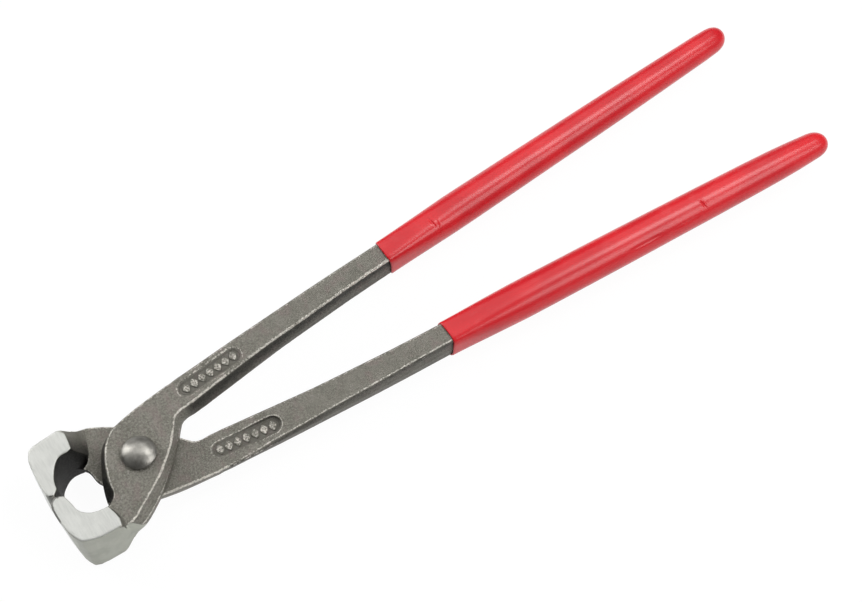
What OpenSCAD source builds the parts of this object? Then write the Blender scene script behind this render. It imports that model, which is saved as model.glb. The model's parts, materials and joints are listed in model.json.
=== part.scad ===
// End-cutting rebar pincers: two identical forged halves, crossed and riveted,
// each with a dipped sleeve on its arm.
// Frame: origin midway along the closed cutting edges, +X towards the handles,
// +Z along the rivet, so that the pincers lie flat. Millimetres.

/* [Jaws] */
// Distance from the cutting edges to the rivet axis
jaw_reach = 33; // [32:0.5:38]
// Length of each cutting edge, along the rivet axis
jaw_w = 23; // [19:1:30]
// Width over both jaws, across the tool
jaw_span = 43.6; // [42.5:0.1:47]
// Gap between the closed cutting edges
bite_gap = 0.3; // [0.2:0.05:0.6]
// Depth of the jaws' front bulge ahead of the cutting edges
nose_depth = 2.9; // [2:0.1:3.5]
// Radius of the ground front face
nose_r = 60; // [45:5:90]
// Depth of the outer bevel at the cutting edge
bevel_out = 1.4; // [0.8:0.1:1.5]
// Depth of the inner bevel at the cutting edge
bevel_in = 3.2; // [2.6:0.2:3.8]
// Radius of the hollow behind each cutting edge
hollow_r = 9.5; // [9:0.1:9.8]
// Distance of the hollow's centre from the cutting edges
hollow_back = 12.4; // [12:0.1:12.8]
// Distance of the hollow's centre from the tool's middle plane
hollow_side = 4; // [3.4:0.2:4.6]
// Length of the slope from a jaw's side face down to the other half's plate
slope_run = 7; // [5:0.5:8]

/* [Joint] */
// Thickness of each lapped plate
plate_t = 6; // [5:0.25:7.5]
// Running clearance between the two plates
lap_gap = 0.1; // [0.05:0.05:0.3]
// Draft of a plate's sides: its outline is the mean of both faces
plate_draft = 1.2; // [0.4:0.2:1.6]
// Radius of the rivet's shank
rivet_r = 4.5; // [3:0.25:5.5]
// Radial clearance of the shank in the half that turns on it
rivet_fit = 0.05; // [0.02:0.01:0.09]
// Radius of the rivet's domed heads
head_r = 6.3; // [5.9:0.1:7.5]
// Height of each domed head
head_h = 4; // [2.5:0.25:4.5]
// Clearance under the head on the half that turns
head_gap = 0.1; // [0.05:0.05:0.3]

/* [Arms] */
// Width of an arm where it leaves the plate
root_w = 14.3; // [12.5:0.1:15]
// Width of an arm where it enters its sleeve
neck_w = 9.9; // [9:0.1:10.4]
// Depth of an arm below the mating plane, at its sleeve
neck_drop = 5; // [4:0.25:5.5]
// Distance of an arm's centre line from the middle plane, at the plate
root_side = 12.4; // [11.8:0.1:13]
// Distance of an arm's centre line from the middle plane, at its bend
bend_side = 20; // [18:0.5:22]
// Distance of an arm's centre line from the middle plane, at its end
tip_side = 32.6; // [28:0.5:38]
// Draft inset of an arm's faces at its sleeve
arm_draft = 0.7; // [0.3:0.1:1]
// Worn chamfer along the arms' edges
edge_c = 0.8; // [0.4:0.1:1]

/* [Pockets] */
// Length of the forged recess on each face of an arm
pocket_l = 27; // [20:1:30]
// Width of the recess
pocket_w = 6.2; // [4:0.2:7]
// Depth of the recess
pocket_d = 0.7; // [0.3:0.1:1]
// Distance of the outer recess's middle from the rivet axis
pocket_x = 37.2; // [36:0.1:42]
// Distance of the inner recess's middle from the rivet axis
pocket_in_x = 35.6; // [35:0.1:42]

/* [Sleeves] */
// Distance from the rivet axis to the sleeve's lip
sleeve_x = 118; // [112:1:126]
// Distance from the rivet axis to the sleeve's closed end
handle_len = 297.8; // [285:1:320]
// Wall of the sleeve at its lip
lip_wall = 0.9; // [0.8:0.1:1.6]
// Wall of the sleeve along the handle
sleeve_wall = 1.4; // [1.2:0.1:1.8]
// Radius of the sleeve at its fullest
sleeve_r = 7.3; // [6.9:0.1:8]
// Radius of the sleeve before its rounded end
sleeve_end_r = 6.1; // [5.6:0.1:6.6]
// Length of the rounded end
end_l = 15.4; // [11:0.5:18]

/* [Hidden] */
$fn = 64;

// Heights of the upper half's mating face and outer face
mate_z = lap_gap / 2;
face_z = mate_z + plate_t;
jaw_z = jaw_w / 2;
jaw_y = jaw_span / 2;

// Places along the arm, from the rivet axis
bury_x = 19;
root_x = 22;
drop_x = 38;
bend_x = 98;
full_x = sleeve_x + 37;
end_x = handle_len - end_l;
core_x = handle_len - 6;

// An arm stands a little above the plate's outer face, and a little below its
// milled mating face. Its parting line runs a little above that face.
face_rise = 0.06;
mill_step = 0.5;
parting = 0.4;

// Points from p to q, bowed out to the left by the given height
function bow(p, q, height, count) =
    let (run = q - p, left = [-run[1], run[0]] / norm(run))
    [for (i = [0:count])
        let (t = i / count)
        p + t * run + 4 * t * (1 - t) * height * left];

// A closed outline moved inwards by a distance, with mitred corners
function inset(outline, distance) =
    let (n = len(outline))
    [for (i = [0:n - 1])
        let (
            into = outline[i] - outline[(i + n - 1) % n],
            away = outline[(i + 1) % n] - outline[i],
            a = [-into[1], into[0]] / norm(into),
            b = [-away[1], away[0]] / norm(away)
        )
        outline[i] + (a + b) * distance / (1 + a * b)];

// Linear step from one value to another between two places
function ramp(x, x0, x1, v0, v1) =
    v0 + (v1 - v0) * min(1, max(0, (x - x0) / (x1 - x0)));

// A skin over rings of equal length that follow each other along X
module loft(rings) {
    n = len(rings[0]);
    last = len(rings) - 1;
    polyhedron(
        points = [for (ring = rings) for (p = ring) p],
        faces = concat(
            [[for (i = [0:n - 1]) i]],
            [[for (i = [n - 1:-1:0]) last * n + i]],
            [for (k = [0:last - 1]) for (i = [0:n - 1])
                let (a = k * n, b = a + n, j = (i + 1) % n)
                each [[a + i, b + i, b + j], [a + i, b + j, a + j]]]
        )
    );
}

// Distance of the arm's centre line from the middle plane
function arm_y(x) =
    x < bend_x
        ? root_side + (bend_side - root_side) * (x - root_x) / (bend_x - root_x)
        : bend_side + (tip_side - bend_side) * (x - bend_x) / (handle_len - bend_x);

// Depth of the arm below the mating face
function arm_drop(x) =
    x < drop_x ? mill_step : ramp(x, drop_x, bend_x, mill_step, neck_drop - 0.2)
        + ramp(x, bend_x, sleeve_x, 0, 0.2);

// Radius of the sleeve where it is round
function round_r(x) =
    x < end_x
        ? ramp(x, full_x, end_x, sleeve_r, sleeve_end_r)
        : sleeve_end_r * sqrt(max(0.004, 1 - pow((x - end_x) / end_l, 2)));

// Section of the forged arm, from its outer parting line over the top face to
// the inner parting line and back under. A buried section is smaller all round.
function arm_ring(x, bury = 0) =
    let (
        w = ramp(x, root_x, bend_x, root_w, neck_w) / 2 - bury,
        mid = mate_z + parting + 0.4 * bury,
        up = face_z + face_rise - bury,
        down = mate_z + 0.4 * bury - arm_drop(x),
        lean = ramp(x, root_x, bend_x, plate_draft, arm_draft),
        c = edge_c,
        cb = 0.5 * min(edge_c, mid - down),
        under = lean * (mid - down) / plate_t,
        y = arm_y(x)
    )
    [for (p = [
        [w, mid], [w - lean * (1 - c / plate_t), up - c], [w - lean - c, up],
        [-w + lean + c, up], [-w + lean * (1 - c / plate_t), up - c], [-w, mid],
        [-w + under, down + cb], [-w + under + cb, down],
        [w - under - cb, down], [w - under, down + cb]
    ]) [x, y + p[0], p[1]]];

// Section of the bar inside its sleeve, nearly round
round_angles = [0, 38, 68, 112, 142, 180, 218, 248, 292, 322];
function core_ring(x) =
    let (r = ramp(x, full_x, end_x, sleeve_r, sleeve_end_r) - sleeve_wall
            - ramp(x, end_x, core_x, 0, 1.2))
    [for (a = round_angles) [x, arm_y(x) + r * cos(a), r * sin(a)]];

module arm() {
    loft([
        arm_ring(bury_x, 2.4), arm_ring(root_x), arm_ring(drop_x),
        arm_ring(bend_x), arm_ring(sleeve_x), arm_ring(sleeve_x + 4),
        core_ring(full_x), core_ring(end_x), core_ring(core_x)
    ]);
}

// Outline of the plate at the mating face. The arm leaves at its right and the
// jaw at its lower left; both ends lie inside those forms.
function plate_outline() =
    let (
        w = root_w / 2,
        stub = root_x + 8,
        sink = root_x + 2,
        meet = root_x - 2.5,
        middle = [meet, arm_y(meet)]
    )
    concat(
        [[stub, arm_y(stub) + w - 3], [sink, arm_y(sink) + w - 1.6]],
        [middle + [0, w - 0.3]],
        bow([-0.8, 15.4], [-16.2, -4.1], -2.6, 10),
        bow([-16.6, -8.6], [-22, -13.2], 0.5, 3),
        [[-24, -17], [-21, 0.6 - jaw_y]],
        [[-16.3, -1.3 - jaw_y], [-12.3, -1.1 - jaw_y]],
        bow([-9.3, -21.4], [15, -0.2], -1.9, 9),
        bow([15.9, 1.3], middle - [0, w + 0.3], 0.4, 3),
        [[sink, arm_y(sink) - w + 1.6], [stub, arm_y(stub) - w + 3]]
    );

module plate() {
    translate([0, 0, mate_z])
        linear_extrude(height = plate_t)
            polygon(inset(plate_outline(), plate_draft / 2));
}

// Jaw of the upper half: it lies on the -Y side and spans the whole width
skew = 13.2;
module jaw() {
    edge_x = -jaw_reach;
    back = [edge_x + 13.7, -13.4];
    front_x = edge_x - nose_depth;
    difference() {
        intersection() {
            linear_extrude(height = jaw_w, center = true)
                polygon([
                    [edge_x, -bite_gap / 2],
                    [edge_x - bevel_out, -bite_gap / 2 - bevel_out],
                    [front_x - 0.6, -bite_gap / 2 - bevel_out - 2],
                    [front_x - 0.6, 2 - jaw_y],
                    [edge_x + 0.2, 1.8 - jaw_y],
                    [edge_x + 1.6, 1 - jaw_y],
                    [edge_x + 12.8, -0.2 - jaw_y],
                    [edge_x + 15, 0.9 - jaw_y],
                    [-9, 0.7 - jaw_y],
                    [-6, -14],
                    [-15, -10.5],
                    [-hollow_side - 20, -6],
                    [edge_x + bevel_in, -bite_gap / 2 - 0.7 * bevel_in]
                ]);
            translate([front_x + nose_r, -3, 0])
                cylinder(r = nose_r, h = jaw_w + 2, center = true, $fn = 128);
            translate([back[0], back[1], 0])
                rotate([0, 0, skew])
                    rotate([90, 0, 0])
                        linear_extrude(height = 60, center = true)
                            polygon([
                                [-30, -jaw_z], [0, -jaw_z],
                                [0.25 * slope_run, -0.5 * jaw_z],
                                [0.6 * slope_run, -0.18 * jaw_z],
                                [1.1 * slope_run, 0.08 * jaw_z],
                                [1.1 * slope_run, 0.35 * jaw_z],
                                [0.8, 0.35 * jaw_z], [0.4, 0.6 * jaw_z],
                                [0, jaw_z], [-30, jaw_z]
                            ]);
        }
        translate([edge_x + hollow_back, -hollow_side, 0])
            cylinder(r = hollow_r, h = jaw_w + 2, center = true);
    }
}

// A stadium-shaped recess, cut from z0 to z1
module pocket(x, turn, z0, z1) {
    run = pocket_l - pocket_w;
    translate([x, arm_y(x), z0])
        rotate([0, 0, turn])
            linear_extrude(height = z1 - z0) {
                square([run, pocket_w], center = true);
                for (side = [-1, 1])
                    translate([side * run / 2, 0])
                        circle(d = pocket_w);
            }
}

// One forging, as the upper half lies; bore_r is its rivet hole
module half(bore_r) {
    difference() {
        union() {
            plate();
            arm();
            jaw();
        }
        cylinder(r = bore_r, h = 3 * plate_t, center = true);
        pocket(pocket_x, 5, face_z - pocket_d, face_z + 1);
        pocket(pocket_in_x, 7, mate_z - 9, mate_z + pocket_d - mill_step - 0.15);
    }
}

// Sleeve: a skin over the arm, round along the handle, squarer at its lip
sleeve_turns = 20;
function sleeve_ring(x) =
    let (
        soft = ramp(x, sleeve_x, full_x, 0, 1),
        a = ramp(soft, 0, 1, neck_w / 2 + lip_wall, round_r(x)),
        b = ramp(soft, 0, 1, (plate_t + neck_drop) / 2 + lip_wall, round_r(x)),
        lift = (1 - soft) * (face_z + mate_z - neck_drop) / 2,
        power = ramp(soft, 0, 1, 0.62, 1)
    )
    [for (i = [0:sleeve_turns - 1])
        let (t = 360 * i / sleeve_turns)
        [
            x,
            arm_y(x) + a * sign(cos(t)) * pow(abs(cos(t)), power),
            lift + b * sign(sin(t)) * pow(abs(sin(t)), power)
        ]];

module sleeve() {
    ends = [for (t = [0, 0.35, 0.6, 0.8, 0.93, 1]) end_x + t * end_l];
    difference() {
        loft([for (x = concat(
            [sleeve_x, sleeve_x + 2, sleeve_x + 9, sleeve_x + 20, full_x], ends
        )) sleeve_ring(x)]);
        arm();
    }
}

// Rivet: a shank with a domed head at each end
module rivet_solid() {
    dome_r = (head_r * head_r + head_h * head_h) / (2 * head_h);
    top = face_z + head_gap;
    translate([0, 0, -face_z])
        cylinder(r = rivet_r, h = top + face_z);
    for (side = [[0, top], [180, face_z]])
        rotate([side[0], 0, 0])
            translate([0, 0, side[1]])
                intersection() {
                    translate([0, 0, head_h - dome_r])
                        sphere(r = dome_r);
                    cylinder(r = head_r + 1, h = head_h + 1);
                }
}

// Places a form built about the rivet axis
module at_rivet() {
    translate([jaw_reach, 0, 0])
        children();
}

module front_half() {
    color("dimgray")
        at_rivet()
            half(rivet_r + rivet_fit);
}

module rear_half() {
    color("dimgray")
        at_rivet()
            rotate([180, 0, 0])
                half(rivet_r);
}

module rivet() {
    color("gray")
        at_rivet()
            rivet_solid();
}

module front_grip() {
    color("crimson")
        at_rivet()
            sleeve();
}

module rear_grip() {
    color("crimson")
        at_rivet()
            rotate([180, 0, 0])
                sleeve();
}

front_half();
rear_half();
rivet();
front_grip();
rear_grip();
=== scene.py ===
# %% [markdown]
# # Rebar pincers
#
# Long-handled pincers for twisting and cutting tie wire. Two alike forgings cross in a
# lap joint and turn on one domed rivet, and each arm is dipped in red vinyl. The packed
# model holds the sizes and the joint, and this lesson dresses it: each forging becomes
# one soft-edged mesh, each sleeve a smooth skin, and every surface gets its own finish.

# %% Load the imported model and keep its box
import json
import math

import bmesh
import bpy
import numpy as np
from mathutils import Matrix, Vector, noise


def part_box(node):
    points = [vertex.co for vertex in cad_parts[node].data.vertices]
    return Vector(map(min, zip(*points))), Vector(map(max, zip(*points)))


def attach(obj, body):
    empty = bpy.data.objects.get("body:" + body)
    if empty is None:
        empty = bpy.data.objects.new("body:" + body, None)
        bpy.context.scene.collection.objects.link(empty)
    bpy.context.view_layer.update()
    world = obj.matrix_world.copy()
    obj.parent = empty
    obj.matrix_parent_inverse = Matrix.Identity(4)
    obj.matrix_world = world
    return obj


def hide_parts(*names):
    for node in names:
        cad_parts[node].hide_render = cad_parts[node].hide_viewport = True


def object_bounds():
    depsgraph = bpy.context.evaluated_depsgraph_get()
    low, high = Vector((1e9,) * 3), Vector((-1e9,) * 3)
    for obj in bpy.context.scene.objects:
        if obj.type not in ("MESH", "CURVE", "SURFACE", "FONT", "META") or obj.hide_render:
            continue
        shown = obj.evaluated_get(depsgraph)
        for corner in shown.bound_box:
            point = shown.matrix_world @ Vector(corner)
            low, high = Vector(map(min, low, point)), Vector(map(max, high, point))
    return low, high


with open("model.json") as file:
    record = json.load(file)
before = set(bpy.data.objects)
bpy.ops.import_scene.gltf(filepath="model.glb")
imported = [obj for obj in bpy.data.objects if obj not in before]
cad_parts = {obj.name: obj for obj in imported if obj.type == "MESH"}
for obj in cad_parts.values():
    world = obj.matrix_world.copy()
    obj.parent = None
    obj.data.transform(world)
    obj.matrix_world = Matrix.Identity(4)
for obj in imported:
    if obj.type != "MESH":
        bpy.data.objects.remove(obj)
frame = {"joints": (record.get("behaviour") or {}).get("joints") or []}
cad_low, cad_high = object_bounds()

# %% [markdown]
# Everything below is drawn in millimetres about the rivet, as on a workshop drawing: X
# runs to the handles, Y across the tool and Z along the rivet. The upper half is drawn
# once. The lower half is the same forging after half a turn about X, so it needs no
# drawing of its own. The sizes that both models share are read from the frame, and two
# small insets keep the new skins inside the solids' ends.

# %% Sizes read from the frame, in millimetres
MM = 0.001
JAW_INSET = 0.02
TIP_INSET = 0.05
hinge = Vector(frame["joints"][0]["pos_m"]) / MM


def box_mm(node):
    """The corners of a CAD node in millimetres about the rivet."""
    low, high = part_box(node)
    return low / MM - hinge, high / MM - hinge


grip_low, grip_high = box_mm("front_grip")
rivet_low, rivet_high = box_mm("rivet")
jaw_z = box_mm("front_half")[1].z - JAW_INSET
edge_x = -hinge.x
lip_x = grip_low.x
tip_x = grip_high.x - TIP_INSET
print("rivet to edge", edge_x, "lip", lip_x, "tip", tip_x, "jaw", jaw_z)

# %% [markdown]
# The outlines below are short lists of given points. A spline rounds such a list, so
# that a curve needs only a point where its shape asks for one. A table is read in
# straight lines between its rows, which is enough where a form changes slowly.

# %% Helpers for curves and tables


def spline(points, steps):
    """A smooth open curve through points of any dimension, steps per stretch."""
    ends = [points[0], *points, points[-1]]
    curve = []
    for k in range(1, len(ends) - 2):
        p, a, b, n = ends[k - 1:k + 3]
        for s in range(steps):
            t = s / steps
            curve.append([
                0.5 * (2 * a[i] + (b[i] - p[i]) * t
                       + (2 * p[i] - 5 * a[i] + 4 * b[i] - n[i]) * t * t
                       + (3 * a[i] - p[i] - 3 * b[i] + n[i]) * t ** 3)
                for i in range(len(a))
            ])
    curve.append(list(points[-1]))
    return curve


def read(table, x):
    """The row of a table at x, in a straight line between two rows; x comes first."""
    for low, high in zip(table, table[1:]):
        if x <= high[0]:
            break
    t = min(1, max(0, (x - low[0]) / (high[0] - low[0])))
    return [a + (b - a) * t for a, b in zip(low, high)]


print("half-way from 0, 0 to 1, 2:", spline([(0, 0), (1, 2)], 2)[1])

# %% [markdown]
# The forms are made as closed meshes, because a later step joins them by voxels, and an
# open mesh has no inside. A loft skins rings of points, and a boolean cuts one form with
# another. The same forms could be pushed into shape in Edit Mode, but then a change of
# one size would mean doing it all again.

# %% Helpers for closed meshes


def new_object(name, data):
    """An object for a mesh, a lamp or a camera, linked to the scene."""
    thing = bpy.data.objects.new(name, data)
    bpy.context.scene.collection.objects.link(thing)
    return thing


def closed_mesh(name, points, faces):
    """A mesh object from points about the rivet in millimetres."""
    mesh = bpy.data.meshes.new(name)
    mesh.from_pydata([(Vector(p) + hinge) * MM for p in points], [], faces)
    outward = bmesh.new()
    outward.from_mesh(mesh)
    bmesh.ops.recalc_face_normals(outward, faces=outward.faces)
    outward.to_mesh(mesh)
    outward.free()
    return new_object(name, mesh)


def loft(name, rings):
    """A closed skin over rings that all have the same number of points."""
    n = len(rings[0])
    faces = [list(range(n)), list(range((len(rings) - 1) * n, len(rings) * n))]
    for k in range(len(rings) - 1):
        for i in range(n):
            j = (i + 1) % n
            faces.append([k * n + i, k * n + j, (k + 1) * n + j, (k + 1) * n + i])
    return closed_mesh(name, [p for ring in rings for p in ring], faces)


def shade_smooth(piece):
    """Lets the light flow over the edges between a piece's faces."""
    for face in piece.data.polygons:
        face.use_smooth = True
    print(piece.name, len(piece.data.polygons), "faces")
    return piece


# %% Helpers for modifiers


def settle(piece):
    """Applies a piece's modifiers to its mesh."""
    graph = bpy.context.evaluated_depsgraph_get()
    mesh = bpy.data.meshes.new_from_object(piece.evaluated_get(graph))
    piece.modifiers.clear()
    piece.data = mesh
    return piece


def combine(piece, tool, operation):
    """Cuts piece with tool, which is used up."""
    step = piece.modifiers.new("combine", "BOOLEAN")
    step.operation = operation
    step.solver = "EXACT"
    step.object = tool
    settle(piece)
    bpy.data.objects.remove(tool)


# %% [markdown]
# ## The forged plate
#
# The plate is the flat middle of a half, where the rivet goes through. A drop hammer
# needs draft, so its sides lean in towards the outer face, most of all at the throat.
# An extruded outline would leave them upright, so each row holds a point of the outline
# twice, on the mating face and on the outer face. A spline rounds the stretches between
# the rows, and four levels carry the side up, nearly upright at first, and over a worn
# edge.

# %% Draw the plate
MATE_Z = 0.06
FACE_Z = 6.05
PLATE_CORNER = (31, 19.5, 31, 18.5)
PLATE_THROAT = [
    (20.5, 19.5, 20.7, 18.0), (8, 17.5, 8.2, 16.5), (-0.5, 15.9, -0.7, 14.7),
    (-5, 14.6, -4.4, 13.4), (-9.9, 10.9, -8.4, 9.7), (-12.6, 6.6, -10.8, 5.8),
    (-14.6, 2.6, -12.5, 1.8), (-16.2, -1, -13.7, -2.2), (-17.3, -4.2, -14.4, -5.2),
    (-18, -7, -14.8, -7.4), (-18.2, -8.8, -16, -9.4), (-16.6, -9.8, -18.5, -11),
    (-15.8, -11.8, -20.5, -12.8), (-16.5, -15, -22, -15),
]
PLATE_BACK = [
    (-20, -20.6, -20, -20), (-16.8, -22.5, -16.6, -21.4), (-13, -23, -12.5, -20.5),
    (-9, -21.8, -8.6, -18.1), (-1.8, -17.2, -2.9, -14.6), (3.6, -12.8, 2.4, -11.2),
    (8.5, -8.3, 6.9, -7.4), (12.5, -3.9, 11.1, -3.4), (15.4, -0.6, 14, 0.2),
    (17.4, 1.9, 15.7, 2.6), (19.5, 4.1, 17.5, 5), (22.3, 4.9, 20.3, 6.3),
    (26, 5.2, 25, 7.1), (31, 8.5, 31, 9.5),
]
# Height of each level, and its share of the way to the outer face's outline.
PLATE_LEVELS = [(MATE_Z, 0), (MATE_Z + 2.6, 0.08), (FACE_Z - 0.5, 0.94), (FACE_Z, 1.1)]
ROW_STEPS = 4


def make_plate():
    rows = [PLATE_CORNER, *spline(PLATE_THROAT, ROW_STEPS), *spline(PLATE_BACK, ROW_STEPS)]
    rings = []
    for z, share in PLATE_LEVELS:
        rings.append([(mx + (fx - mx) * share, my + (fy - my) * share, z)
                      for mx, my, fx, fy in rows])
    return loft("plate", rings)


print("plate rows", len(PLATE_THROAT) + len(PLATE_BACK))

# %% [markdown]
# ## The forged arm
#
# The arm leaves the plate as a wide flat bar and turns into a deep narrow one: its
# outer face stays level while its underside drops away behind the joint. Its sides lean
# both ways from the parting line, where the two dies met and left a fine flash. A loft
# suits such a bar, because a few stations hold its whole taper. Each station of the
# table holds the inner and outer side at the parting line, the same at the outer face,
# and the depth of the underside.

# %% Draw the arm
ARM = [
    (14, 9, 15.5, 10, 14.5, 0), (19, 6.6, 18, 8, 16.8, 0), (22, 5.1, 19.4, 6.9, 18, 0.02),
    (25, 5, 19.9, 6.7, 18.5, 0.08), (30, 5.5, 20.3, 7.5, 18.9, 0.15),
    (35, 6.2, 20.7, 8.25, 19.3, 0.25), (45, 7.6, 21.3, 9.6, 20.25, 0.95),
    (55, 9.2, 22, 10.95, 21.05, 1.65), (65, 10.8, 22.6, 12.05, 21.8, 2.4),
    (75, 12.1, 23.3, 12.95, 22.55, 3.15), (85, 13.3, 24.05, 13.9, 23.3, 3.9),
    (98, 14.8, 24.8, 15.15, 24.15, 4.7), (108, 15.6, 25.3, 15.85, 24.7, 4.95),
    (118, 16.3, 25.75, 16.5, 25.25, 5.1), (132, 17.2, 26.6, 17.6, 26.1, 5.1),
]
ARM_START = 14
ARM_STEP = 2
ARM_RINGS = 60
PARTING_Z = 0.6
FLASH = 0.18
FLASH_W = 0.5
ARM_ROUND = 0.65
LEAN_IN = 0.1
LEAN_OUT = 0.35
# The bar starts sunk in the plate, and from here on stands a hair proud of its face.
SUNK = 2.5
LEVEL_X = 20
PROUD = 0.01


def arm_ring(x):
    """Section of the arm, once round from the outer parting line."""
    _, inner, outer, face_in, face_out, drop = read(ARM, x)
    top = FACE_Z + PROUD - SUNK * max(0, (LEVEL_X - x) / (LEVEL_X - ARM_START))
    bottom = MATE_Z - drop
    under = PARTING_Z - bottom
    low = PARTING_Z - min(FLASH_W, 0.4 * under)
    edge, low_edge = ARM_ROUND, min(ARM_ROUND, 0.45 * under)
    bulge, tuck = 0.15 * edge, 0.25 * edge
    foot = outer - LEAN_OUT
    return [(x, y, z) for y, z in [
        (outer + FLASH, PARTING_Z), (outer, PARTING_Z + FLASH_W),
        (face_out + bulge, top - edge), (face_out - tuck, top - tuck), (face_out - edge, top),
        (face_in + edge, top), (face_in + tuck, top - tuck), (face_in - bulge, top - edge),
        (inner, PARTING_Z + FLASH_W), (inner - FLASH, PARTING_Z), (inner, low),
        (inner + LEAN_IN, bottom + low_edge), (inner + low_edge, bottom),
        (foot - low_edge, bottom), (foot, bottom + low_edge), (outer, low),
    ]]


def make_arm():
    return loft("arm", [arm_ring(ARM_START + ARM_STEP * k) for k in range(ARM_RINGS)])


print("arm at its sleeve", [round(v, 2) for v in read(ARM, lip_x)])

# %% [markdown]
# ## The jaw
#
# A jaw is a block as deep as the tool, forged with its half and ground bright. Its two
# end faces differ a little, so each row of its outline is held twice, on the plate's
# side and on the mating side. A long curved front, a small outer bevel and a longer
# inner one meet in the cutting edge. A block with two cutters gives crisper edges here
# than one loft would: one cutter leaves the upright step to its own plate and the soft
# slope down to the mating face, and the other makes the hollow.

# %% Draw the jaw
JAW = [
    (edge_x + 0.5, -0.13, edge_x + 0.2, -0.13), (-34.1, -0.9, -34.4, -1),
    (-35.1, -2, -34.95, -2.2), (-35.55, -3.8, -35.15, -3.8), (-35.7, -6.5, -35.15, -6.5),
    (-35.6, -10, -34.95, -10), (-35, -14, -34.5, -14),
    (-34.1, -17, -34.1, -17), (-33.3, -18.6, -33.4, -19), (-32.6, -19.8, -32.4, -21),
    (-31, -20.7, -30.3, -21.9), (-28.4, -21.7, -27, -22.2), (-25.5, -22.3, -24.5, -22.3),
    (-22, -22.5, -21.5, -22.4), (-19.4, -22.5, -19.6, -22.4), (-16.6, -22.4, -16.8, -22.4),
    (-13.2, -22.6, -13.2, -22.7), (-9.2, -21.4, -9.2, -21.4), (-7, -14, -7, -14),
    (-14, -7, -14, -7), (-24, -5, -24, -5), (-29.9, -1.6, -30.6, -2.1),
]
HOLLOW_START = (-28.3, 2, -28.9, 2)
HOLLOW_ARC = [
    (-29.8, -1.7, -30.6, -2.2), (-29, -5, -29.9, -5.4), (-28.2, -9, -28.1, -8.8),
    (-25.9, -11.6, -25.9, -11.4), (-23.2, -12.9, -23.9, -12.4), (-19.8, -13.4, -21, -12.4),
    (-17.6, -13, -19.2, -12.9), (-14, -12, -14, -12.4),
]
HOLLOW_REST = [(-5, -10, -5, -10), (-5, 6, -5, 6), (-28, 6, -28, 6)]
HOLLOW_STEPS = 5
# Cutters reach past the jaw's end faces by this much, and past its front to here.
OVER = 1
FRONT_X = -45


def two_faced(name, rows, reach):
    """A solid between the outline on the mating side and the one on the plate's side."""
    rings = []
    for z in (-reach, reach):
        t = (jaw_z - z) / (2 * jaw_z)
        rings.append([(px + (mx - px) * t, py + (my - py) * t, z) for px, py, mx, my in rows])
    return loft(name, rings)


print("jaw rows", len(JAW), "hollow rows", len(HOLLOW_ARC))

# %% Cut the jaw's slope, step and hollow
SLOPE_Z = [-jaw_z - OVER, -jaw_z, -10, -8, -5, -3, -1.5, -0.5, 0.12]
# Each row: y, the slope's x at each height, the first for two of them, and the step's x.
SLOPE = [
    (-30, -21.6, -19.9, -18.3, -16.4, -15.2, -14.0, -12.1, -10.1, -18.4),
    (-22, -20.8, -19.3, -18.1, -16.4, -15.2, -14.0, -12.1, -10.0, -18.2),
    (-19.6, -18.7, -18.3, -17.8, -16.4, -15.3, -14.4, -13.3, -12.0, -17.7),
    (-16.5, -18.9, -18.5, -18.1, -16.7, -15.5, -14.7, -14.0, -13.2, -18.2),
    (-12.7, -19.5, -19.2, -18.8, -17.4, -16.4, -15.6, -15.2, -15.0, -19.3),
    (-9, -20.0, -19.7, -19.3, -18.5, -17.8, -17.2, -16.9, -16.7, -20.3),
    (30, -20.0, -19.7, -19.3, -18.5, -17.8, -17.2, -16.9, -16.7, -20.3),
]
# How far the upright step stands back at each height.
UPRIGHT = [(2, 4), (0.7, FACE_Z), (0.5, 7.5), (0.1, 10.5), (0, jaw_z + OVER)]
FOOT_X = 1
FOOT_Z = 2.5


def kept_section(y, slope, step):
    """Section of what is kept of the jaw at y: slope, foot in the plate, and step."""
    ring = [(FRONT_X, y, SLOPE_Z[0])]
    ring += [(x, y, z) for x, z in zip([slope[0], *slope], SLOPE_Z)]
    ring.append((slope[-1] + FOOT_X, y, FOOT_Z))
    ring += [(step + back, y, z) for back, z in UPRIGHT]
    ring.append((FRONT_X, y, jaw_z + OVER))
    return ring


def make_jaw():
    jaw = two_faced("jaw", JAW, jaw_z)
    sections = [kept_section(y, slope, step) for y, *slope, step in SLOPE]
    combine(jaw, loft("slope", sections), "INTERSECT")
    hollow = [HOLLOW_START, *spline(HOLLOW_ARC, HOLLOW_STEPS), *HOLLOW_REST]
    combine(jaw, two_faced("hollow", hollow, jaw_z + OVER), "DIFFERENCE")
    print("jaw", len(jaw.data.polygons), "faces before the voxels")
    return jaw


# %% [markdown]
# ## Recesses
#
# Each arm has a long stadium-shaped recess in its outer face and one in its mating
# face, and a plain row of lozenges stands in each. The cutter passes through plate and
# arm alike, before the two are joined. The lozenges stand apart from that skin, so that
# the smoothing leaves them crisp.

# %% Cut the recesses
POCKET_L = 27
POCKET_W = 6.2
POCKET_D = 0.8
MOUTH_GROW = 0.3
BED_GROW = -0.45
CUTTER_RISE = 1.5
ARC_STEPS = 8
# Middle and turn of the recess in the outer face and of the one in the mating face.
FACE_POCKET = (37.2, 14.0), math.radians(5)
MATE_POCKET = (35.7, 13.4), math.radians(7.3)


def stadium(centre, turn, grow):
    """A stadium outline in X and Y."""
    r = POCKET_W / 2 + grow
    run = (POCKET_L - POCKET_W) / 2
    points = []
    for end in (1, -1):
        for k in range(2 * ARC_STEPS + 1):
            a = math.pi * (k - ARC_STEPS * end) / (2 * ARC_STEPS)
            points.append((r * math.cos(a) + end * run, r * math.sin(a)))
    c, s = math.cos(turn), math.sin(turn)
    return [(centre[0] + c * x - s * y, centre[1] + s * x + c * y) for x, y in points]


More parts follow.
